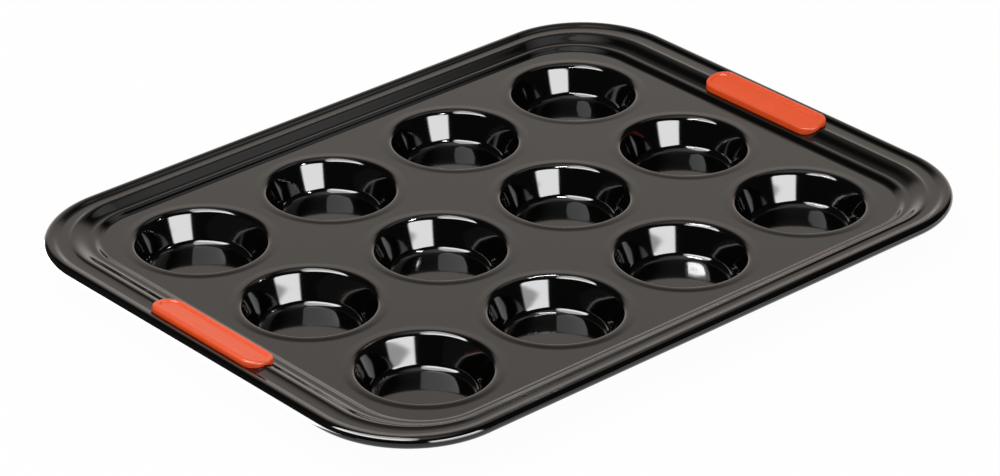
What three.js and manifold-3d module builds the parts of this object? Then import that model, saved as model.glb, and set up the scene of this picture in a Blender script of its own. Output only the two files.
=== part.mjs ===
// Twelve-cup muffin pan: one pressed steel sheet with a rim curled over a wire,
// and a silicone grip pushed through a slot in each short side.
// Millimetres, +Z up, X along the pan. The cup floors stand on z = 0.

import * as THREE from "three";
import { mergeGeometries, mergeVertices } from "three/addons/utils/BufferGeometryUtils.js";
import Module from "manifold-3d";

const wasm = await Module();
wasm.setup();

// Sheet and cups
const sheet = 0.8;
const cupColumns = 4;
const cupRows = 3;
const cupDepth = 16.4;
const lipCrestRadius = 35.9;
const lipRingWidth = 4.6;
const lipRingHeight = 0.25;
const lipRadius = 3.5;
const floorRadius = 24.1;
const floorFillet = 4.6;
const webBetweenCups = 4;

// Deck, measured from the outermost lip rings
const endMargin = 4.25;
const sideMargin = 4.35;
const deckCornerRadius = 34;

// Stepped frame, across the short ends and the long sides
const coveWidth = { end: 5.3, side: 3.8 };
const coveHeight = 2.0;
const stepWidth = { end: 1.7, side: 1.3 };
const slopeWidth = { end: 9.25, side: 6.2 };
const slopeHeight = 3.15;
const fallWidth = { end: 2.0, side: 1.5 };
const fallHeight = 0.4;
const ledgeWidth = { end: 4.9, side: 2.6 };
const riseWidth = { end: 4.0, side: 3.9 };
const riseHeight = 1.35;

// Curled rim
const beadRadius = 3.05;
const beadDrop = 3.0;
const curlEndAngle = -175;
const outerCornerRadius = 56.8;
const wireClearance = 0.3;

// Silicone grips
const gripLength = 80.5;
const gripSetIn = 1.85;
const gripBeadGap = 0.2;
const gripCornerRadius = 8.3;
const gripInnerRise = 4.3;
const gripOuterRise = 1.8;
const gripShoulder = { width: 1.3, height: 1.1 };
const gripClearance = 0.3;
const panelDepth = 0.6;
const panelBorder = { inner: 3.3, outer: 4.3, end: 4.2 };
const slotBorder = { inner: 5.0, outer: 5.4, end: 5.0 };
const slotCornerRadius = 3.2;
const underPlateInset = 2.9;
const underPlateThickness = 1.4;

// Facets
const cupSegments = 24;
const cornerSegments = 7;
const bendSteps = 3;
const beadSteps = 8;
const curlSteps = 7;
const wireSides = 10;

// Values worked out from the sizes above
const deckTop = sheet + cupDepth;
const lipFootRadius = lipCrestRadius + lipRingWidth;
const cupPitch = 2 * lipFootRadius + webBetweenCups;
const deckHalf = {
  end: ((cupColumns - 1) / 2) * cupPitch + lipFootRadius + endMargin,
  side: ((cupRows - 1) / 2) * cupPitch + lipFootRadius + sideMargin,
};

// Solids, cuts and joins

function solidFrom(geometry) {
  const bare = geometry.index ? geometry.toNonIndexed() : geometry.clone();
  bare.deleteAttribute("normal");
  bare.deleteAttribute("uv");
  const merged = mergeVertices(bare, 1e-4);
  return new wasm.Manifold(
    new wasm.Mesh({
      numProp: 3,
      vertProperties: merged.attributes.position.array,
      triVerts: new Uint32Array(merged.index.array),
    }),
  );
}

function geometryFrom(solid) {
  const mesh = solid.getMesh();
  const geometry = new THREE.BufferGeometry();
  geometry.setAttribute("position", new THREE.BufferAttribute(mesh.vertProperties, 3));
  geometry.setIndex(new THREE.BufferAttribute(mesh.triVerts, 1));
  geometry.computeVertexNormals();
  return geometry;
}

// A skin lofted through rings of equal point counts, facing up where the rings grow outwards.
function loft(rings, closed) {
  const positions = [];
  const bands = closed ? rings.length : rings.length - 1;
  for (let k = 0; k < bands; k++) {
    const inner = rings[k];
    const outer = rings[(k + 1) % rings.length];
    for (let i = 0; i < inner.length; i++) {
      const j = (i + 1) % inner.length;
      for (const corner of [inner[i], outer[i], outer[j], inner[i], outer[j], inner[j]]) {
        positions.push(corner.x, corner.y, corner.z);
      }
    }
  }
  const geometry = new THREE.BufferGeometry();
  geometry.setAttribute("position", new THREE.Float32BufferAttribute(positions, 3));
  return geometry;
}

// A rounded rectangle at one height, counter-clockwise.
function roundedRing({ end, side, corner, z }) {
  const ring = [];
  for (let quarter = 0; quarter < 4; quarter++) {
    const signX = quarter === 0 || quarter === 3 ? 1 : -1;
    const signY = quarter < 2 ? 1 : -1;
    for (let i = 0; i <= cornerSegments; i++) {
      const angle = (quarter + i / cornerSegments) * (Math.PI / 2);
      ring.push(
        new THREE.Vector3(
          signX * (end - corner) + corner * Math.cos(angle),
          signY * (side - corner) + corner * Math.sin(angle),
          z,
        ),
      );
    }
  }
  return ring;
}

// Cup section: two arcs joined by the straight wall that touches both

const lipCentre = new THREE.Vector2(lipCrestRadius, lipRingHeight - lipRadius);
const filletCentre = new THREE.Vector2(floorRadius, floorFillet - cupDepth);

function wallTurn() {
  const across = lipCentre.x - filletCentre.x;
  const up = lipCentre.y - filletCentre.y;
  return Math.atan2(up, across) + Math.asin((lipRadius + floorFillet) / Math.hypot(across, up));
}

// Points from the lip ring's foot to the axis, lowered by the depth into the sheet.
function cupSection(depth, steps) {
  const turn = wallTurn();
  const points = [new THREE.Vector2(lipFootRadius, -depth)];
  for (let i = 0; i <= steps; i++) {
    const angle = Math.PI / 2 + (turn * i) / steps;
    const radius = lipRadius - depth;
    points.push(
      new THREE.Vector2(
        lipCentre.x + radius * Math.cos(angle),
        lipCentre.y + radius * Math.sin(angle),
      ),
    );
  }
  for (let i = steps; i >= 0; i--) {
    const angle = -Math.PI / 2 + (turn * i) / steps;
    const radius = floorFillet + depth;
    points.push(
      new THREE.Vector2(
        filletCentre.x + radius * Math.cos(angle),
        filletCentre.y + radius * Math.sin(angle),
      ),
    );
  }
  points.push(new THREE.Vector2(0, -cupDepth - depth));
  return points;
}

function cupCentres() {
  const centres = [];
  for (let row = 0; row < cupRows; row++) {
    for (let column = 0; column < cupColumns; column++) {
      centres.push(
        new THREE.Vector2(
          (column - (cupColumns - 1) / 2) * cupPitch,
          (row - (cupRows - 1) / 2) * cupPitch,
        ),
      );
    }
  }
  return centres;
}

function cupSkins(centre) {
  const inside = new THREE.LatheGeometry(cupSection(0, bendSteps), cupSegments);
  const outside = new THREE.LatheGeometry(cupSection(sheet, bendSteps - 1).reverse(), cupSegments);
  return [inside, outside].map((skin) =>
    skin
      .rotateX(Math.PI / 2)
      .translate(centre.x, centre.y, deckTop)
      .toNonIndexed(),
  );
}

// Deck: the flat web round the cup mouths, as an upper and a lower skin

function deckSkins() {
  const edge = roundedRing({ ...deckHalf, corner: deckCornerRadius, z: 0 });
  const shape = new THREE.Shape(edge.map((p) => new THREE.Vector2(p.x, p.y)));
  for (const centre of cupCentres()) {
    const mouth = [];
    for (let i = 0; i < cupSegments; i++) {
      const angle = (2 * Math.PI * i) / cupSegments;
      mouth.push(
        new THREE.Vector2(
          centre.x + lipFootRadius * Math.sin(angle),
          centre.y - lipFootRadius * Math.cos(angle),
        ),
      );
    }
    shape.holes.push(new THREE.Path(mouth));
  }
  const upper = new THREE.ShapeGeometry(shape).translate(0, 0, deckTop).toNonIndexed();
  const lower = new THREE.ShapeGeometry(shape);
  lower.index.array.reverse();
  return [upper, lower.translate(0, 0, deckTop - sheet).toNonIndexed()];
}

// Frame section: cove, narrow step, slope, small fall, ledge and rise, then the curl round the wire.
// Each station holds its distance out from the deck's edge at the ends and the sides.

function blend(t) {
  return t * t * (3 - 2 * t);
}

function frameStations() {
  const stations = [{ end: 0, side: 0, z: 0 }];
  function run(width, height, steps) {
    const from = stations[stations.length - 1];
    for (let i = 1; i <= steps; i++) {
      const t = i / steps;
      stations.push({
        end: from.end + width.end * t,
        side: from.side + width.side * t,
        z: from.z + height * blend(t),
      });
    }
  }
  run(coveWidth, coveHeight, bendSteps);
  run(stepWidth, 0, 1);
  run(slopeWidth, slopeHeight, bendSteps);
  run(fallWidth, -fallHeight, 1);
  run(ledgeWidth, 0, 1);
  run(riseWidth, riseHeight, bendSteps - 1);
  return stations;
}

const stations = frameStations();
const frameEdge = stations[stations.length - 1];
const beadReach = Math.sqrt(beadRadius ** 2 - beadDrop ** 2);
const beadCentre = {
  end: deckHalf.end + frameEdge.end + beadReach,
  side: deckHalf.side + frameEdge.side + beadReach,
  corner: outerCornerRadius - beadRadius,
  z: deckTop + frameEdge.z - beadDrop,
};
const frameCorner = beadCentre.corner - beadReach;

function stationRing(station, drop) {
  return roundedRing({
    end: deckHalf.end + station.end,
    side: deckHalf.side + station.side,
    corner: THREE.MathUtils.lerp(deckCornerRadius, frameCorner, station.end / frameEdge.end),
    z: deckTop + station.z - drop,
  });
}

function beadRing(radius, angle) {
  const out = radius * Math.cos(angle);
  return roundedRing({
    end: beadCentre.end + out,
    side: beadCentre.side + out,
    corner: beadCentre.corner + out,
    z: beadCentre.z + radius * Math.sin(angle),
  });
}

function arcRings(radius, from, to, steps) {
  const rings = [];
  for (let i = 0; i <= steps; i++) {
    rings.push(beadRing(radius, THREE.MathUtils.lerp(from, to, i / steps)));
  }
  return rings;
}

function frameSkin() {
  const curlRadius = beadRadius - sheet;
  const curlEnd = THREE.MathUtils.degToRad(curlEndAngle);
  const beadStart = Math.PI - Math.asin(beadDrop / beadRadius);
  const curlStart = Math.PI - Math.asin((beadDrop - sheet) / curlRadius);
  const curlFrom = stations.length - 1;
  const upper = stations.slice(0, curlFrom).map((station) => stationRing(station, 0));
  const lower = stations.slice(0, curlFrom).map((station) => stationRing(station, sheet));
  return loft(
    [
      ...upper,
      ...arcRings(beadRadius, beadStart, curlEnd, beadSteps),
      ...arcRings(curlRadius, curlEnd, curlStart, curlSteps),
      ...lower.reverse(),
    ],
    false,
  );
}

// Grips, modelled at the +X end

const crestFrom = bendSteps;
const gripFrom = deckHalf.end + stations[crestFrom].end + gripSetIn;
const gripTo = deckHalf.end + frameEdge.end - gripBeadGap;
const gripInnerTop = deckTop + stations[crestFrom].z + gripInnerRise;
const gripOuterTop = deckTop + frameEdge.z + gripOuterRise;
const gripTilt = (gripOuterTop - gripInnerTop) / (gripTo - gripFrom);

// A rounded rectangle in plan, set in from the grip's own outline.
function gripOutline(border, cornerRadius) {
  const from = gripFrom + border.inner;
  const to = gripTo - border.outer;
  const half = gripLength / 2 - border.end;
  const radius = Math.min(cornerRadius, (to - from) / 2);
  const shape = new THREE.Shape();
  shape.absarc(to - radius, half - radius, radius, 0, Math.PI / 2);
  shape.absarc(from + radius, half - radius, radius, Math.PI / 2, Math.PI);
  shape.absarc(from + radius, radius - half, radius, Math.PI, Math.PI * 1.5);
  shape.absarc(to - radius, radius - half, radius, Math.PI * 1.5, Math.PI * 2);
  return shape;
}

function evenBorder(width) {
  return { inner: width, outer: width, end: width };
}

function prism(shape, from, to) {
  const geometry = new THREE.ExtrudeGeometry(shape, {
    depth: to - from,
    bevelEnabled: false,
    curveSegments: 5,
  });
  return solidFrom(geometry.translate(0, 0, from));
}

// A slice of space along the frame's end section, between two heights above its upper skin.
function endBand(low, high) {
  const section = stations.map(
    (station) => new THREE.Vector2(deckHalf.end + station.end, deckTop + station.z),
  );
  const below = section.map((p) => new THREE.Vector2(p.x, p.y + low));
  const above = section.map((p) => new THREE.Vector2(p.x, p.y + high)).reverse();
  const geometry = new THREE.ExtrudeGeometry(new THREE.Shape([...below, ...above]), {
    depth: gripLength,
    bevelEnabled: false,
  });
  return solidFrom(geometry.rotateX(Math.PI / 2).translate(0, gripLength / 2, 0));
}

// Tilts a solid so that a level face at z = 0 becomes the pad's top.
function onPadTop(geometry) {
  const tilt = new THREE.Matrix4().set(1, 0, 0, 0, 0, 1, 0, 0, gripTilt, 0, 1, 0, 0, 0, 0, 1);
  tilt.elements[14] = gripInnerTop - gripTilt * gripFrom;
  return solidFrom(geometry.applyMatrix4(tilt));
}

function gripPad() {
  const padDepth = slopeHeight + gripInnerRise;
  const body = new THREE.ExtrudeGeometry(gripOutline(evenBorder(gripShoulder.width), gripCornerRadius), {
    depth: padDepth,
    bevelThickness: gripShoulder.height,
    bevelSize: gripShoulder.width,
    bevelSegments: 3,
    curveSegments: 5,
  });
  const panel = new THREE.ExtrudeGeometry(gripOutline(panelBorder, gripCornerRadius), {
    depth: panelDepth * 2,
    bevelEnabled: false,
    curveSegments: 5,
  });
  const pad = onPadTop(body.translate(0, 0, -padDepth - gripShoulder.height));
  const sunk = onPadTop(panel.translate(0, 0, -panelDepth));
  return pad.subtract(sunk).subtract(endBand(-deckTop, gripClearance));
}

function gripSolid() {
  const plateTop = -sheet - gripClearance;
  const plate = prism(gripOutline(evenBorder(underPlateInset), gripCornerRadius), 0, gripOuterTop);
  const neckBorder = {
    inner: slotBorder.inner + gripClearance,
    outer: slotBorder.outer + gripClearance,
    end: slotBorder.end + gripClearance,
  };
  const neck = prism(gripOutline(neckBorder, slotCornerRadius), 0, gripOuterTop);
  return plate
    .intersect(endBand(plateTop - underPlateThickness, plateTop))
    .add(neck.intersect(endBand(plateTop - underPlateThickness / 2, gripClearance * 2)))
    .add(gripPad());
}

// Pan, wire and grips

function panSolid() {
  const skins = [...deckSkins(), ...cupCentres().flatMap(cupSkins), frameSkin()];
  for (const skin of skins) {
    skin.deleteAttribute("normal");
    skin.deleteAttribute("uv");
  }
  const slot = prism(gripOutline(slotBorder, slotCornerRadius), 0, gripOuterTop);
  return solidFrom(mergeGeometries(skins))
    .subtract(slot)
    .subtract(slot.rotate([0, 0, 180]));
}

function wireSolid() {
  const wireRadius = beadRadius - sheet - wireClearance;
  const rings = [];
  for (let i = 0; i < wireSides; i++) {
    rings.push(beadRing(wireRadius, (-2 * Math.PI * i) / wireSides));
  }
  return solidFrom(loft(rings, true));
}

const coatedSteel = new THREE.MeshStandardMaterial({
  color: 0x1c1a18,
  roughness: 0.18,
  metalness: 0.0,
});
const wireSteel = new THREE.MeshStandardMaterial({
  color: 0x9a9c9e,
  roughness: 0.4,
  metalness: 1.0,
});
const silicone = new THREE.MeshStandardMaterial({
  color: 0xe2643f,
  roughness: 0.55,
  metalness: 0.0,
});

function piece(name, solid, material) {
  const mesh = new THREE.Mesh(geometryFrom(solid), material);
  mesh.name = name;
  return mesh;
}

const muffinPan = new THREE.Group();
muffinPan.name = "muffin_pan";
muffinPan.add(piece("pressed_pan", panSolid(), coatedSteel));
muffinPan.add(piece("rim_wire", wireSolid(), wireSteel));

const grip = gripSolid();
const gripRight = piece("grip_right", grip, silicone);
const gripLeft = piece("grip_left", grip, silicone);
gripLeft.rotation.z = Math.PI;
muffinPan.add(gripRight, gripLeft);

export default muffinPan;
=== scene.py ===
import math

import bmesh
import bpy
from mathutils import Matrix, Vector


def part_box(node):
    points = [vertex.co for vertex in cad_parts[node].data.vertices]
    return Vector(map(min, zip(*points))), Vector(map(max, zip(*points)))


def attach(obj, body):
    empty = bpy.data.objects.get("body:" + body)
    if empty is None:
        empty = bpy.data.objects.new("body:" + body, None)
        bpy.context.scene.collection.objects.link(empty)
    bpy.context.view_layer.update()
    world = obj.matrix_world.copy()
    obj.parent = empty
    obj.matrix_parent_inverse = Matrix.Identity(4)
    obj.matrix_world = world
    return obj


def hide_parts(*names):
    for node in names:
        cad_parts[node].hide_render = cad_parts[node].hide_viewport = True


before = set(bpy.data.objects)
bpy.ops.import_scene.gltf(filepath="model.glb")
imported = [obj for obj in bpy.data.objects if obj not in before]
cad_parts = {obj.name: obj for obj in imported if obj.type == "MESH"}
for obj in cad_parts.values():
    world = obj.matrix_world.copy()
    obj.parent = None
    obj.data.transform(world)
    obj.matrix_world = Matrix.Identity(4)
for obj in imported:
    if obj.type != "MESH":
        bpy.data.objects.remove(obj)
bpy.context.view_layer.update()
mm = 0.001  # the settings below are in millimetres, the meshes in metres
body = "root"
print("frame loaded:", len(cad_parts), "nodes")


# Mesh helpers

def ease(t):
    return t * t * (3 - 2 * t)


def lerp(a, b, t):
    return a + (b - a) * t


def addRing(mesh, points):
    return [mesh.verts.new(Vector(p) * mm) for p in points]


def bridge(mesh, inner, outer):
    count = len(inner)
    for i in range(count):
        j = (i + 1) % count
        mesh.faces.new((inner[i], outer[i], outer[j], inner[j]))


# skin through rings that run outwards and then round underneath, so its faces point out
def loft(mesh, rings):
    made = [addRing(mesh, ring) for ring in rings]
    for inner, outer in zip(made, made[1:]):
        bridge(mesh, inner, outer)
    return made


def cappedLoft(mesh, rings):
    made = loft(mesh, rings)
    mesh.faces.new(made[0])
    mesh.faces.new(list(reversed(made[-1])))
    return made


def newObject(name, data):
    made = bpy.data.objects.new(name, data)
    bpy.context.scene.collection.objects.link(made)
    return made


def asObject(name, mesh):
    data = bpy.data.meshes.new(name)
    mesh.to_mesh(data)
    mesh.free()
    return newObject(name, data)


# bakes the modifiers into a plain mesh, smooth but for edges that turn sharply
def settle(piece, sharpDegrees=40):
    graph = bpy.context.evaluated_depsgraph_get()
    data = bpy.data.meshes.new_from_object(piece.evaluated_get(graph))
    piece.modifiers.clear()
    piece.data = data
    data.name = piece.name
    data.shade_smooth()
    data.set_sharp_from_angle(angle=math.radians(sharpDegrees))
    return piece


def dress(piece, material, slot, *nodes):
    piece.data.materials.clear()
    piece.data.materials.append(material)
    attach(piece, body)
    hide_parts(*nodes)


# Shader helpers: a socket that takes part in sums, and one method for every other node

class Socket:
    def __init__(self, tree, out=None):
        self.tree = tree
        self.out = out

    def make(self, kind, settings=None, inputs=None, output=0):
        node = self.tree.nodes.new(kind)
        for key, value in (settings or {}).items():
            if key == "stops":
                setStops(node.color_ramp, value)
            else:
                setattr(node, key, value)
        for key, value in (inputs or {}).items():
            if isinstance(value, Socket):
                self.tree.links.new(value.out, node.inputs[key])
            else:
                node.inputs[key].default_value = value
        return Socket(self.tree, node.outputs[output]) if node.outputs else node

    def maths(self, operation, first, second=0.0):
        return self.make("ShaderNodeMath", {"operation": operation}, {0: first, 1: second})

    def __add__(self, other):
        return self.maths("ADD", self, other)

    def __radd__(self, other):
        return self.maths("ADD", other, self)

    def __sub__(self, other):
        return self.maths("SUBTRACT", self, other)

    def __rsub__(self, other):
        return self.maths("SUBTRACT", other, self)

    def __mul__(self, other):
        return self.maths("MULTIPLY", self, other)

    def __rmul__(self, other):
        return self.maths("MULTIPLY", other, self)

    def __truediv__(self, other):
        return self.maths("DIVIDE", self, other)

    def between(self, low, high):
        inputs = {"Value": self, "From Min": low, "From Max": high}
        return self.make("ShaderNodeMapRange", {"interpolation_type": "SMOOTHSTEP"}, inputs)


def setStops(ramp, stops):
    while len(ramp.elements) < len(stops):
        ramp.elements.new(0.5)
    for element, (place, colour) in zip(ramp.elements, stops):
        element.position = place
        element.color = colour


def newMaterial(name):
    material = bpy.data.materials.new(name)
    material.use_nodes = True
    material.node_tree.nodes.clear()
    return material, Socket(material.node_tree)


def objectPlace(start):
    return start.make("ShaderNodeTexCoord", None, None, "Object")


def lightPath(start, name):
    return start.make("ShaderNodeLightPath", None, None, name)


def dot(start, first, second):
    settings = {"operation": "DOT_PRODUCT"}
    return start.make("ShaderNodeVectorMath", settings, {0: first, 1: tuple(second)}, "Value")


def noise(start, place, scale, detail=2.0, roughness=0.5):
    inputs = {"Vector": place, "Scale": scale, "Detail": detail, "Roughness": roughness}
    return start.make("ShaderNodeTexNoise", None, inputs)


def finishMaterial(start, shader):
    start.make("ShaderNodeOutputMaterial", None, {"Surface": shader})


# bump from a height in millimetres
def bumped(start, height):
    return start.make("ShaderNodeBump", None, {"Height": height, "Distance": mm})


def mixColours(start, factor, first, second):
    settings = {"data_type": "RGBA", "clamp_factor": True}
    return start.make("ShaderNodeMix", settings, {0: factor, 6: first, 7: second}, 2)


# Non-stick coat: near-black gloss with a faint orange peel

coat = {
    "darkColour": (0.0010, 0.0009, 0.0008, 1),
    "lightColour": (0.0018, 0.0016, 0.0014, 1),
    "cloudScale": 38,  # every noise scale is per metre
    "roughness": 0.07,
    "roughnessSpread": 0.05,
    "refraction": 1.5,
    "peelScale": 520,
    "peelHeight": 0.0022,
    "grainScale": 2600,
    "grainHeight": 0.0003,
}


def nonstickCoat():
    material, start = newMaterial("nonstick coat")
    place = objectPlace(start)
    cloud = noise(start, place, coat["cloudScale"], detail=4)
    peel = noise(start, place, coat["peelScale"])
    grain = noise(start, place, coat["grainScale"], detail=1)
    height = peel * coat["peelHeight"] + grain * coat["grainHeight"]
    shader = start.make("ShaderNodeBsdfPrincipled", None, {
        "Base Color": mixColours(start, cloud, coat["darkColour"], coat["lightColour"]),
        "Roughness": coat["roughness"] + (cloud - 0.5) * coat["roughnessSpread"],
        "IOR": coat["refraction"],
        "Normal": bumped(start, height),
    })
    finishMaterial(start, shader)
    return material


# Drawn steel wire

wireFinish = {
    "darkColour": (0.30, 0.30, 0.31, 1),
    "lightColour": (0.56, 0.56, 0.57, 1),
    "streakScale": 900,
    "roughness": 0.36,
    "roughnessSpread": 0.2,
    "streakHeight": 0.008,
}


def drawnSteel():
    material, start = newMaterial("drawn steel")
    place = objectPlace(start)
    streak = noise(start, place, wireFinish["streakScale"], detail=3, roughness=0.7)
    tint = mixColours(start, streak, wireFinish["darkColour"], wireFinish["lightColour"])
    shader = start.make("ShaderNodeBsdfPrincipled", None, {
        "Base Color": tint,
        "Metallic": 1.0,
        "Roughness": wireFinish["roughness"] + (streak - 0.5) * wireFinish["roughnessSpread"],
        "Normal": bumped(start, streak * wireFinish["streakHeight"]),
    })
    finishMaterial(start, shader)
    return material


# Orange silicone: satin moulding with a fine matt grain

silicone = {
    "deepColour": (0.86, 0.078, 0.008, 1),
    "paleColour": (0.92, 0.098, 0.013, 1),
    "cloudScale": 90,
    "roughness": 0.36,
    "roughnessSpread": 0.12,
    "refraction": 1.41,
    "grainScale": 2400,
    "grainHeight": 0.006,
}


def gripSilicone():
    material, start = newMaterial("grip silicone")
    place = objectPlace(start)
    cloud = noise(start, place, silicone["cloudScale"], detail=3)
    grain = noise(start, place, silicone["grainScale"])
    shader = start.make("ShaderNodeBsdfPrincipled", None, {
        "Base Color": mixColours(start, cloud, silicone["deepColour"], silicone["paleColour"]),
        "Roughness": silicone["roughness"] + (grain - 0.5) * silicone["roughnessSpread"],
        "IOR": silicone["refraction"],
        "Normal": bumped(start, grain * silicone["grainHeight"]),
    })
    finishMaterial(start, shader)
    return material


# Pressed pan

pan = {
    "sheet": 0.8,
    "columns": 4,
    "rows": 3,
    "pitch": 85.0,
    "cupDepth": 16.4,
    "lipFoot": 40.5,
    "lipCrest": 35.9,
    "lipRise": 0.25,
    "lipRound": 3.5,
    "floorFlat": 23.4,
    "floorRound": 4.6,
    "wallEase": -0.8,  # degrees, below zero the wall is steeper in its middle than next to its ends
    "deckCorner": 34.0,
    "cove": (5.3, 3.8, 2.0),  # across the ends, across the sides, up
    "step": (1.7, 1.3, 0.0),
    "slope": (9.25, 6.2, 3.15),
    "slopeEase": 0.6,  # share of the slope's rise that eases in and out, the rest is straight
    "fall": (2.0, 1.5, -0.4),
    "ledge": (4.9, 2.6, 0.0),
    "rise": (4.0, 3.9, 1.35),
    "beadRound": 3.05,
    "beadDrop": 3.0,
    "beadCorner": 53.75,
    "curlEnd": -175.0,  # degrees round the wire
    "wireRound": 1.95,
    "wireSides": 20,
    "flatBand": 0.5,  # level strip beside every bend, which keeps the gloss of flats even
    "weld": 0.02,
    "cupSides": 72,
    "cornerSteps": 22,
    "straightSteps": 5,
}

bendSteps = {
    "ring": 6, "lip": 12, "wall": 10, "fillet": 12, "cove": 9, "step": 2,
    "slope": 11, "fall": 4, "ledge": 2, "rise": 8, "bead": 28,
}
wireLow, wireHigh = (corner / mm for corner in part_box("rim_wire"))
beadCentre = {
    "end": wireHigh.x - pan["wireRound"],
    "side": wireHigh.y - pan["wireRound"],
    "z": (wireLow.z + wireHigh.z) / 2,
}


# stations across the frame, outwards from the deck's edge: at the ends, at the sides, up
def frameStations():
    stations = [(0.0, 0.0, 0.0)]
    for part in ("cove", "step", "slope", "fall", "ledge", "rise"):
        end, side, up = stations[-1]
        acrossEnd, acrossSide, rise = pan[part]
        steps = bendSteps[part]
        eased = pan["slopeEase"] if part == "slope" else 1.0
        for i in range(1, steps + 1):
            t = i / steps
            lift = rise * lerp(t, ease(t), eased)
            stations.append((end + acrossEnd * t, side + acrossSide * t, up + lift))
    return stations


stations = frameStations()
frameEdge = stations[-1]
beadReach = math.sqrt(pan["beadRound"] ** 2 - pan["beadDrop"] ** 2)
deckHalf = {
    "end": beadCentre["end"] - beadReach - frameEdge[0],
    "side": beadCentre["side"] - beadReach - frameEdge[1],
}
deckTop = beadCentre["z"] + pan["beadDrop"] - frameEdge[2]


# rounded rectangle, counter-clockwise, with points on its straights next to every corner
def roundedRing(end, side, corner, z):
    corners = []
    for quarter, (signX, signY) in enumerate(((1, 1), (-1, 1), (-1, -1), (1, -1))):
        arc = []
        for i in range(pan["cornerSteps"] + 1):
            angle = (quarter + i / pan["cornerSteps"]) * math.pi / 2
            x = signX * (end - corner) + corner * math.cos(angle)
            arc.append(Vector((x, signY * (side - corner) + corner * math.sin(angle), z)))
        corners.append(arc)
    ring = []
    for arc, following in zip(corners, corners[1:] + corners[:1]):
        ring += arc
        start, stop = arc[-1], following[0]
        guard = 2 * pan["flatBand"] / (stop - start).length
        for i in range(pan["straightSteps"] + 1):
            ring.append(start.lerp(stop, lerp(guard, 1 - guard, i / pan["straightSteps"])))
    return ring


def stationRing(station):
    end, side, up = station
    corner = lerp(pan["deckCorner"], pan["beadCorner"] - beadReach, end / frameEdge[0])
    return roundedRing(deckHalf["end"] + end, deckHalf["side"] + side, corner, deckTop + up)


def beadRing(radius, angle):
    out = radius * math.cos(angle)
    z = beadCentre["z"] + radius * math.sin(angle)
    end, side = beadCentre["end"] + out, beadCentre["side"] + out
    return roundedRing(end, side, pan["beadCorner"] + out, z)


# cup section as radius and height over the deck, from the flat band round the mouth to the floor
def cupSection():
    lipCentre = Vector((pan["lipCrest"], pan["lipRise"] - pan["lipRound"]))
    filletCentre = Vector((pan["floorFlat"], pan["floorRound"] - pan["cupDepth"]))
    gap = lipCentre - filletCentre
    turn = math.atan2(gap.y, gap.x) + math.asin((pan["lipRound"] + pan["floorRound"]) / gap.length)
    turn -= math.radians(pan["wallEase"])

    def onArc(centre, radius, angle):
        return centre + radius * Vector((math.cos(angle), math.sin(angle)))

    points = [Vector((pan["lipFoot"] + pan["flatBand"], 0)), Vector((pan["lipFoot"], 0))]
    for i in range(1, bendSteps["ring"]):
        t = i / bendSteps["ring"]
        points.append(Vector((lerp(pan["lipFoot"], pan["lipCrest"], t), pan["lipRise"] * ease(t))))
    for i in range(bendSteps["lip"] + 1):
        points.append(onArc(lipCentre, pan["lipRound"], math.pi / 2 + turn * i / bendSteps["lip"]))
    top, foot = points[-1], onArc(filletCentre, pan["floorRound"], turn - math.pi / 2)
    run = foot - top
    across = Vector((-run.y, run.x)).normalized()
    slack = math.atan2(-run.y, -run.x) - turn
    swing = run.length * math.tan(slack) / (2 * math.pi)
    for i in range(1, bendSteps["wall"]):
        t = i / bendSteps["wall"]
        points.append(top + run * t + across * swing * math.sin(2 * math.pi * t))
    for i in range(bendSteps["fillet"], -1, -1):
        angle = turn * i / bendSteps["fillet"] - math.pi / 2
        points.append(onArc(filletCentre, pan["floorRound"], angle))
    flat = pan["floorFlat"]
    for radius in (flat - 2 * pan["flatBand"], flat / 2, flat / 8):
        points.append(Vector((radius, -pan["cupDepth"])))
    return points


def circle(radius, z, centre=(0, 0)):
    ring = []
    for i in range(pan["cupSides"]):
        angle = 2 * math.pi * i / pan["cupSides"]
        x, y = centre[0] + radius * math.cos(angle), centre[1] + radius * math.sin(angle)
        ring.append(Vector((x, y, z)))
    return ring


def cupForm():
    mesh = bmesh.new()
    section = cupSection()
    made = loft(mesh, [circle(p.x, p.y) for p in reversed(section)])
    mesh.faces.new(made[0])
    return asObject("cup form", mesh)


def cupCentres():
    columns, rows, pitch = pan["columns"], pan["rows"], pan["pitch"]
    return [
        ((i - (columns - 1) / 2) * pitch, (j - (rows - 1) / 2) * pitch)
        for j in range(rows) for i in range(columns)
    ]


# deck with open mouths, frame and curl as one open skin
def deckAndFrame():
    mesh = bmesh.new()
    band = pan["flatBand"]
    end, side = deckHalf["end"] - band, deckHalf["side"] - band
    rings = [roundedRing(end, side, pan["deckCorner"] - band, deckTop)]
    rings += [stationRing(station) for station in stations]
    beadStart = math.pi - math.asin(pan["beadDrop"] / pan["beadRound"])
    for i in range(1, bendSteps["bead"] + 1):
        angle = lerp(beadStart, math.radians(pan["curlEnd"]), i / bendSteps["bead"])
        rings.append(beadRing(pan["beadRound"], angle))
    loops = [loft(mesh, rings)[0]]
    for centre in cupCentres():
        loops.append(addRing(mesh, circle(pan["lipFoot"] + band, deckTop, centre)))
    edges = []
    for loop in loops:
        for a, b in zip(loop, loop[1:] + loop[:1]):
            edges.append(mesh.edges.get((a, b)) or mesh.edges.new((a, b)))
    bmesh.ops.triangle_fill(mesh, edges=edges, use_beauty=True, normal=(0, 0, 1))
    return asObject("pressed_sheet", mesh)


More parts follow.
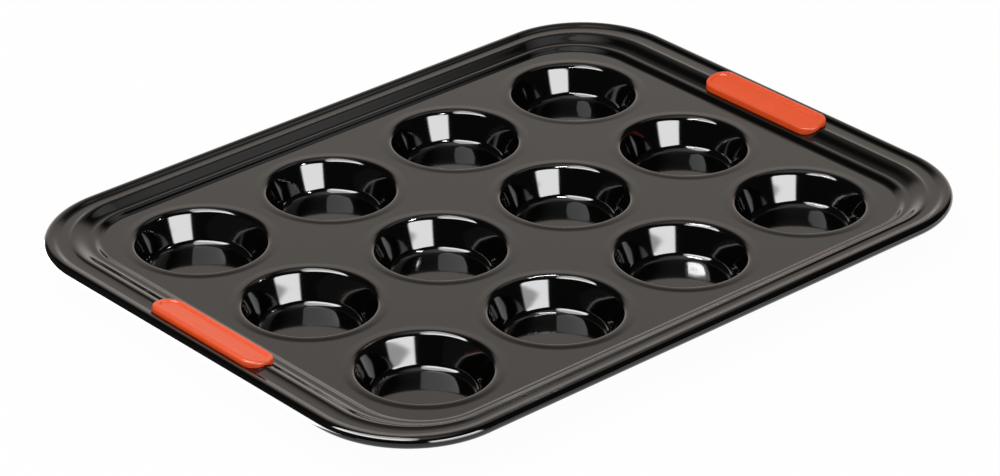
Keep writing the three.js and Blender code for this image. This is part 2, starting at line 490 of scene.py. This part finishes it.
# sets the cups on their grid and welds them into the deck
def cupGridTree(material):
    tree = bpy.data.node_groups.new("cup grid", "GeometryNodeTree")
    face = tree.interface
    face.new_socket("Geometry", in_out="INPUT", socket_type="NodeSocketGeometry")
    for name, kind in (
        ("Cup", "Object"), ("Columns", "Int"), ("Rows", "Int"),
        ("Pitch", "Float"), ("Deck height", "Float"), ("Weld", "Float"),
    ):
        face.new_socket(name, in_out="INPUT", socket_type="NodeSocket" + kind)
    face.new_socket("Geometry", in_out="OUTPUT", socket_type="NodeSocketGeometry")
    start = Socket(tree)
    given = tree.nodes.new("NodeGroupInput")

    def entry(name):
        return Socket(tree, given.outputs[name])

    grid = start.make("GeometryNodeMeshGrid", None, {
        "Size X": (entry("Columns") - 1) * entry("Pitch"),
        "Size Y": (entry("Rows") - 1) * entry("Pitch"),
        "Vertices X": entry("Columns"),
        "Vertices Y": entry("Rows"),
    })
    height = start.make("ShaderNodeCombineXYZ", None, {"Z": entry("Deck height")})
    grid = start.make("GeometryNodeTransform", None, {"Geometry": grid, "Translation": height})
    cup = start.make("GeometryNodeObjectInfo", None, {"Object": entry("Cup")}, "Geometry")
    cups = start.make("GeometryNodeInstanceOnPoints", None, {"Points": grid, "Instance": cup})
    join = tree.nodes.new("GeometryNodeJoinGeometry")
    tree.links.new(given.outputs["Geometry"], join.inputs[0])
    tree.links.new(cups.out, join.inputs[0])
    joined = Socket(tree, join.outputs[0])
    real = start.make("GeometryNodeRealizeInstances", None, {"Geometry": joined})
    welded = start.make("GeometryNodeMergeByDistance", None,
                        {"Geometry": real, "Distance": entry("Weld")})
    done = start.make("GeometryNodeSetMaterial", None, {"Geometry": welded, "Material": material})
    start.make("NodeGroupOutput", None, {"Geometry": done})
    return tree


def setInputs(modifier, values):
    for item in modifier.node_group.interface.items_tree:
        if item.item_type == "SOCKET" and item.in_out == "INPUT" and item.name in values:
            modifier[item.identifier] = values[item.name]


# Silicone grips, laid out at the +X end

grip = {
    "cornerRound": 8.3,
    "padReach": (-0.35, 2.2, -0.5),  # pad's edges in from the grip's box: inner, outer, end
    "padCorner": 8.2,
    "panelCorner": 4.8,
    "innerRise": 5.6,  # pad top over the deck, carried on to its inner and its outer edge
    "outerRise": 8.8,
    "shoulderWidth": (0.8, 2.4, 1.0),  # rounded edge: inner, outer, end
    "shoulderHeight": (0.8, 2.0),  # inner, outer
    "wallDraft": 0.15,
    "footRound": 0.2,
    "clearance": 0.3,
    "seat": 0.1,
    "panelBorder": (2.6, 6.7, 2.4),
    "panelDepth": 0.7,
    "panelRound": 0.45,
    "neckBorder": (5.3, 5.7, 5.3),
    "slotBorder": (5.0, 5.4, 5.0),
    "slotRound": 3.2,
    "cutAbove": 10.0,  # reach of the slots' cutters over and under the deck
    "cutBelow": 5.0,
    "plateInset": 2.9,
    "plateThickness": 1.4,
    "plateMiddle": 0.2,  # corner towards which the rings under the plate close
    "endFlat": 0.02,  # least straight between two round corners
    "weld": 0.0001,
    "cornerSteps": 10,
    "straightSteps": 6,
}
gripLow, gripHigh = (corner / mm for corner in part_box("grip_right"))


# height of the frame's upper side over the deck at the pan's ends
def frameHeight(x):
    out = x - deckHalf["end"]
    for a, b in zip(stations, stations[1:]):
        if out <= b[0]:
            return deckTop + lerp(a[2], b[2], max(0.0, (out - a[0]) / (b[0] - a[0])))
    return deckTop + frameEdge[2]


# share of the way from the pad's inner edge to its outer edge
def padShare(x):
    low, high = gripLow.x + grip["padReach"][0], gripHigh.x - grip["padReach"][1]
    return (x - low) / (high - low)


def padTop(x):
    return deckTop + lerp(grip["innerRise"], grip["outerRise"], padShare(x))


# rounded rectangle set in from the grip's outline, with its heights from a rule on x
def gripRing(border, cornerRound, height):
    inner, outer, end = border
    low, high = gripLow.x + inner, gripHigh.x - outer
    half = (gripHigh.y - gripLow.y) / 2 - end
    corner = min(cornerRound, (high - low - grip["endFlat"]) / 2)
    middles = ((high - corner, half - corner), (low + corner, half - corner),
               (low + corner, corner - half), (high - corner, corner - half))
    ring = []
    for quarter, (x, y) in enumerate(middles):
        for i in range(grip["cornerSteps"] + 1):
            angle = (quarter + i / grip["cornerSteps"]) * math.pi / 2
            ring.append(Vector((x + corner * math.cos(angle), y + corner * math.sin(angle), 0)))
    full = []
    steps = grip["straightSteps"]
    for k, point in enumerate(ring):
        full.append(point)
        if k % (grip["cornerSteps"] + 1) == grip["cornerSteps"]:
            following = ring[(k + 1) % len(ring)]
            full += [point.lerp(following, i / steps) for i in range(1, steps)]
    return [Vector((p.x, p.y, height(p.x))) for p in full]


def even(width):
    return (width, width, width)


def padRings():
    border, depth, bend = grip["panelBorder"], grip["panelDepth"], grip["panelRound"]
    reach, corner = grip["padReach"], grip["padCorner"]
    rings = []

    def ring(borders, cornerRound, drop):
        rings.append(gripRing(borders, cornerRound, lambda x: padTop(x) - drop(x)))

    # sunken panel, its raised edge, the border and the rounded outer edge
    for t in (-1.6, -1.0, -0.7, -0.4, -0.1, 0.2, 0.5, 0.8, 1.0):
        sunk = depth * (1 - ease(max(0.0, (t + 1) / 2)))
        ring([b - bend * t for b in border], grip["panelCorner"] + bend * t, lambda x: sunk)
    for angle in range(0, 91, 10):
        turn = math.radians(angle)
        tuck, fall = 1 - math.sin(turn), 1 - math.cos(turn)
        insets = [grip["wallDraft"] + width * tuck for width in grip["shoulderWidth"]]
        ring([r + i for r, i in zip(reach, insets)], corner - insets[2],
             lambda x: fall * lerp(*grip["shoulderHeight"], padShare(x)))
    return rings


def footRings():
    rings = []
    clear, foot = grip["clearance"], grip["footRound"]
    sheet, thick = pan["sheet"], grip["plateThickness"]

    def ring(borders, cornerRound, lift):
        rings.append(gripRing(borders, cornerRound, lambda x: frameHeight(x) + lift))

    # wall foot, underside of the pad, neck through the slot, plate under the frame
    halfway = 0.3 * foot  # middle of the rounded foot
    for inset, lift in ((0, foot), (halfway, halfway), (foot, 0)):
        ring([r + inset for r in grip["padReach"]], grip["padCorner"] - inset, grip["seat"] + lift)
    ring(grip["neckBorder"], grip["slotRound"], clear)
    ring(grip["neckBorder"], grip["slotRound"], -sheet - clear)
    inset, corner = grip["plateInset"], grip["cornerRound"] - grip["plateInset"]
    ring(even(inset + foot), corner - foot, -sheet - clear)
    ring(even(inset), corner, -sheet - clear - foot)
    ring(even(inset), corner, -sheet - clear - thick + foot)
    ring(even(inset + foot), corner - foot, -sheet - clear - thick)
    halfWidth = (gripHigh.x - gripLow.x) / 2
    for share in (0.5, 0.75, 0.95):
        closing = lerp(corner, grip["plateMiddle"], share)
        ring(even(lerp(inset, halfWidth, share)), closing, -sheet - clear - thick)
    return rings


def gripSkin(name, turn):
    mesh = bmesh.new()
    cappedLoft(mesh, padRings() + footRings())
    mesh.transform(Matrix.Rotation(turn, 4, "Z"))
    bmesh.ops.remove_doubles(mesh, verts=mesh.verts, dist=grip["weld"] * mm)
    return settle(asObject(name, mesh))


# cutters for the slots that the necks pass through
def slotCutters():
    mesh = bmesh.new()
    for turn in (0, math.pi):
        rings = [
            gripRing(grip["slotBorder"], grip["slotRound"], lambda x: deckTop + grip["cutAbove"]),
            gripRing(grip["slotBorder"], grip["slotRound"], lambda x: deckTop - grip["cutBelow"]),
        ]
        top, foot = cappedLoft(mesh, rings)
        bmesh.ops.rotate(mesh, verts=top + foot, matrix=Matrix.Rotation(turn, 3, "Z"))
    return asObject("slot cutters", mesh)


def pressedSheet(material):
    sheet = deckAndFrame()
    cup = cupForm()
    cutters = slotCutters()
    cups = sheet.modifiers.new("cups", "NODES")
    cups.node_group = cupGridTree(material)
    setInputs(cups, {
        "Cup": cup, "Columns": pan["columns"], "Rows": pan["rows"],
        "Pitch": pan["pitch"] * mm, "Deck height": deckTop * mm, "Weld": pan["weld"] * mm,
    })
    thick = sheet.modifiers.new("sheet", "SOLIDIFY")
    thick.thickness = pan["sheet"] * mm
    thick.offset = -1
    thick.use_even_offset = True
    thick.use_quality_normals = True
    slots = sheet.modifiers.new("slots", "BOOLEAN")
    slots.operation = "DIFFERENCE"
    slots.solver = "EXACT"
    slots.object = cutters
    settle(sheet)
    for helper in (cup, cutters):
        bpy.data.objects.remove(helper)
    return sheet


def rimWire():
    mesh = bmesh.new()
    sides = pan["wireSides"]
    rings = [beadRing(pan["wireRound"], -2 * math.pi * i / sides) for i in range(sides)]
    made = loft(mesh, rings)
    bridge(mesh, made[-1], made[0])
    return settle(asObject("stiffening_wire", mesh))


coated = nonstickCoat()
sheet = pressedSheet(coated)
dress(sheet, coated, "nonstick_coat", "pressed_pan")
print("pressed sheet:", len(sheet.data.polygons), "faces")

wire = rimWire()
dress(wire, drawnSteel(), "wire_steel", "rim_wire")
print("stiffening wire:", len(wire.data.polygons), "faces")

rubber = gripSilicone()
for name, node, turn in (("right_grip", "grip_right", 0), ("left_grip", "grip_left", math.pi)):
    piece = gripSkin(name, turn)
    dress(piece, rubber, "grip_silicone", node)
    print(name + ":", len(piece.data.polygons), "faces")


# Camera, at the photograph's angle

camera = {
    "azimuth": -42.23,
    "elevation": 28.15,
    "roll": 0.295,
    "distance": 2067.0,
    "target": (-13.76, -12.52),
    "lens": 148.22,
    "sensor": 36.0,
    "clipEnd": 100000,
}


def placeCamera():
    turn, rise = math.radians(camera["azimuth"]), math.radians(camera["elevation"])
    right = Vector((math.cos(turn), math.sin(turn), 0))
    level = Vector((math.sin(turn), -math.cos(turn), 0))
    back = level * math.cos(rise) + Vector((0, 0, math.sin(rise)))
    axes = Matrix((right, back.cross(right), back)).transposed()
    eye = newObject("camera", bpy.data.cameras.new("camera"))
    eye.data.sensor_fit = "HORIZONTAL"
    eye.data.sensor_width = camera["sensor"]
    eye.data.lens = camera["lens"]
    eye.data.clip_end = camera["clipEnd"] * mm
    target = Vector((*camera["target"], deckTop))
    spot = Matrix.Translation((target + back * camera["distance"]) * mm)
    rolled = axes @ Matrix.Rotation(math.radians(camera["roll"]), 3, "Z")
    eye.matrix_world = spot @ rolled.to_4x4()
    bpy.context.scene.camera = eye
    return right, level


sideways, forwards = placeCamera()  # level directions: to the viewer's right and towards the viewer
print("camera placed")


# Studio: pale floor, soft light, and cards that only the gloss of the coat sees

studio = {
    "floorSize": 14000,
    "floorColour": (0.86, 0.86, 0.86, 1),
    "floorWhite": 0.97,
    "fill": 0.72,
    "keyPower": 7.0,
    "keySize": 1200,
    "keyPlace": (-700, 500, 1500),
    "darkRoom": 0.03,
    "ceiling": 0.9,
    "ceilingFrom": (62, 84),  # degrees up, where it starts and where it is full
    "behind": (1.18, 1.07, 0.98, 1),  # white wall, low down
    "behindSpread": (42, 20),  # degrees to each side, where it ends and where it is full
    "behindHigh": 0.7,  # share of it left higher up
    "highFrom": (6, 22),
    "behindAbove": 0.24,  # share of it left over the wall
    "aboveFrom": (30, 38),
    "aboveSpread": (32, 10),
}
# places are right of and towards the viewer from the pan's middle; an upright card has no head of
# its own, and an even one has no shares of its brightness up the card and no fade towards its ends
cards = {
    "tall softbox": {
        "foot": ((-767, 292), (28, 600)),
        "head": ((-100, -136), (8, 200)),
        "heights": (524, 800),
        "peak": 19.0,
        "shares": ((0, 0.25), (0.05, 1.0), (0.4, 1.0), (0.58, 0.5), (1, 0.42)),
        "fade": 0.2,
    },
    "low strip light": {
        "foot": ((219, 1036), (786, 474)),
        "heights": (0, 520),
        "peak": 17.5,
        "shares": ((0, 0.3), (0.42, 0.38), (0.47, 1.0), (0.95, 1.0), (1, 0.2)),
        "fade": 0.1,
    },
    "high panel": {
        "foot": ((270, -715), (590, -320)),
        "head": ((59, -453), (265, -180)),
        "heights": (712, 846),
        "peak": 0.7,
        "shares": ((0, 0.3), (0.4, 1.0), (0.8, 1.0), (1, 0.3)),
        "fade": 0.3,
    },
    "small lamp": {
        "foot": ((69, 41), (28, 12)),
        "head": ((67, 51), (26, 25)),
        "heights": (170, 171),
        "peak": 160.0,
    },
    "lamp shade": {"foot": ((72, 56), (20, 24)), "heights": (136, 176), "peak": 0.0},
    "dark flag": {"foot": ((-420, -200), (-120, 270)), "heights": (0, 70), "peak": 0.08},
    "bright floor": {
        "foot": ((-255, -24), (-88, 168)),
        "head": ((-292, 46), (-122, 242)),
        "heights": (1, 2),
        "peak": 14.0,
    },
    "white reflector": {"foot": ((240, 190), (330, -60)), "heights": (0, 16), "peak": 2.2},
}


def onStage(place, z):
    level = sideways * place[0] + forwards * place[1]
    return Vector((level.x, level.y, z)) * mm


# brightness of a card over its height, faded towards its left and right ends
def cardGlow(start, card, left, right):
    place = objectPlace(start)
    height = start.make("ShaderNodeSeparateXYZ", None, {"Vector": place}, "Z")
    low, high = (z * mm for z in card["heights"])
    stops = [(at, (share, share, share, 1)) for at, share in card["shares"]]
    ramp = start.make("ShaderNodeValToRGB", {"stops": stops}, {0: (height - low) / (high - low)})
    run = (right - left) / (right - left).length_squared
    along = dot(start, place, run) - left.dot(run)
    fade = card["fade"]
    return ramp * along.between(0, fade) * (1 - along.between(1 - fade, 1))


def studioCard(name, card):
    mesh = bmesh.new()
    low, high = card["heights"]
    foot = [onStage(place, low) for place in card["foot"]]
    head = [onStage(place, high) for place in card.get("head", card["foot"])]
    mesh.faces.new([mesh.verts.new(p) for p in (foot[0], foot[1], head[1], head[0])])
    panel = asObject(name, mesh)
    material, start = newMaterial(name)
    glow = cardGlow(start, card, *foot) if "shares" in card else (1, 1, 1, 1)
    lit = start.make("ShaderNodeEmission", None, {"Color": glow, "Strength": card["peak"]})
    finishMaterial(start, lit)
    panel.data.materials.append(material)
    panel.visible_camera = False
    panel.visible_diffuse = False
    panel.visible_shadow = False


def paleFloor():
    half = studio["floorSize"] / 2
    mesh = bmesh.new()
    corners = ((-half, -half, 0), (half, -half, 0), (half, half, 0), (-half, half, 0))
    mesh.faces.new(addRing(mesh, corners))
    floor = asObject("floor", mesh)
    material, start = newMaterial("pale floor")
    shown = lightPath(start, "Is Camera Ray") + lightPath(start, "Is Glossy Ray")
    shown = shown + lightPath(start, "Is Transmission Ray")
    matt = start.make("ShaderNodeBsdfDiffuse", None, {"Color": studio["floorColour"]})
    white = start.make("ShaderNodeEmission", None, {"Color": (1, 1, 1, 1), "Strength": 1.0})
    share = shown * studio["floorWhite"]
    finishMaterial(start, start.make("ShaderNodeMixShader", None, {0: share, 1: matt, 2: white}))
    floor.data.materials.append(material)


# the room that the gloss mirrors: white behind the pan, dark over it and at the sides, pale ceiling
def paintRoom():
    world = bpy.data.worlds.new("studio")
    world.use_nodes = True
    world.node_tree.nodes.clear()
    bpy.context.scene.world = world
    start = Socket(world.node_tree)
    place = start.make("ShaderNodeTexCoord", None, None, "Generated")
    height = start.make("ShaderNodeSeparateXYZ", None, {"Vector": place}, "Z")
    away = dot(start, place, -forwards)
    overOne = 1.0001  # keeps the root above zero straight up and straight down
    level = start.maths("SQRT", overOne - height * height)

    def raised(angles):
        return height.between(*(math.sin(math.radians(angle)) for angle in angles))

    def spread(angles):
        return (away / level).between(*(math.cos(math.radians(angle)) for angle in angles))

    above = raised(studio["aboveFrom"])
    dimmed = 1 - raised(studio["highFrom"]) * (1 - studio["behindHigh"])
    wallShare = (1 - above) * spread(studio["behindSpread"]) * dimmed
    overShare = above * spread(studio["aboveSpread"]) * studio["behindAbove"]
    room = studio["darkRoom"] + raised(studio["ceilingFrom"]) * studio["ceiling"]
    seen = lightPath(start, "Is Camera Ray")
    mirrored = lightPath(start, "Is Glossy Ray")
    plain = (1 - seen) * (1 - mirrored)
    strength = seen + mirrored * room + plain * studio["fill"]
    sky = start.make("ShaderNodeBackground", None, {"Color": strength, "Strength": 1.0})
    share = mirrored * (wallShare + overShare)
    warm = mixColours(start, share, (0, 0, 0, 1), studio["behind"])
    wall = start.make("ShaderNodeBackground", None, {"Color": warm, "Strength": 1.0})
    both = start.make("ShaderNodeAddShader", None, {0: sky, 1: wall})
    start.make("ShaderNodeOutputWorld", None, {"Surface": both})


def softKey():
    lamp = newObject("soft key", bpy.data.lights.new("soft key", "AREA"))
    lamp.data.size = studio["keySize"] * mm
    lamp.data.energy = studio["keyPower"]
    *place, z = studio["keyPlace"]
    spot = onStage(place, z)
    lamp.matrix_world = Matrix.Translation(spot) @ spot.to_track_quat("Z", "Y").to_matrix().to_4x4()
    lamp.visible_glossy = False
    lamp.visible_camera = False


for name, card in cards.items():
    studioCard(name, card)
paleFloor()
paintRoom()
softKey()
bpy.context.scene.view_settings.view_transform = "Standard"
print("studio set:", len(cards), "cards")
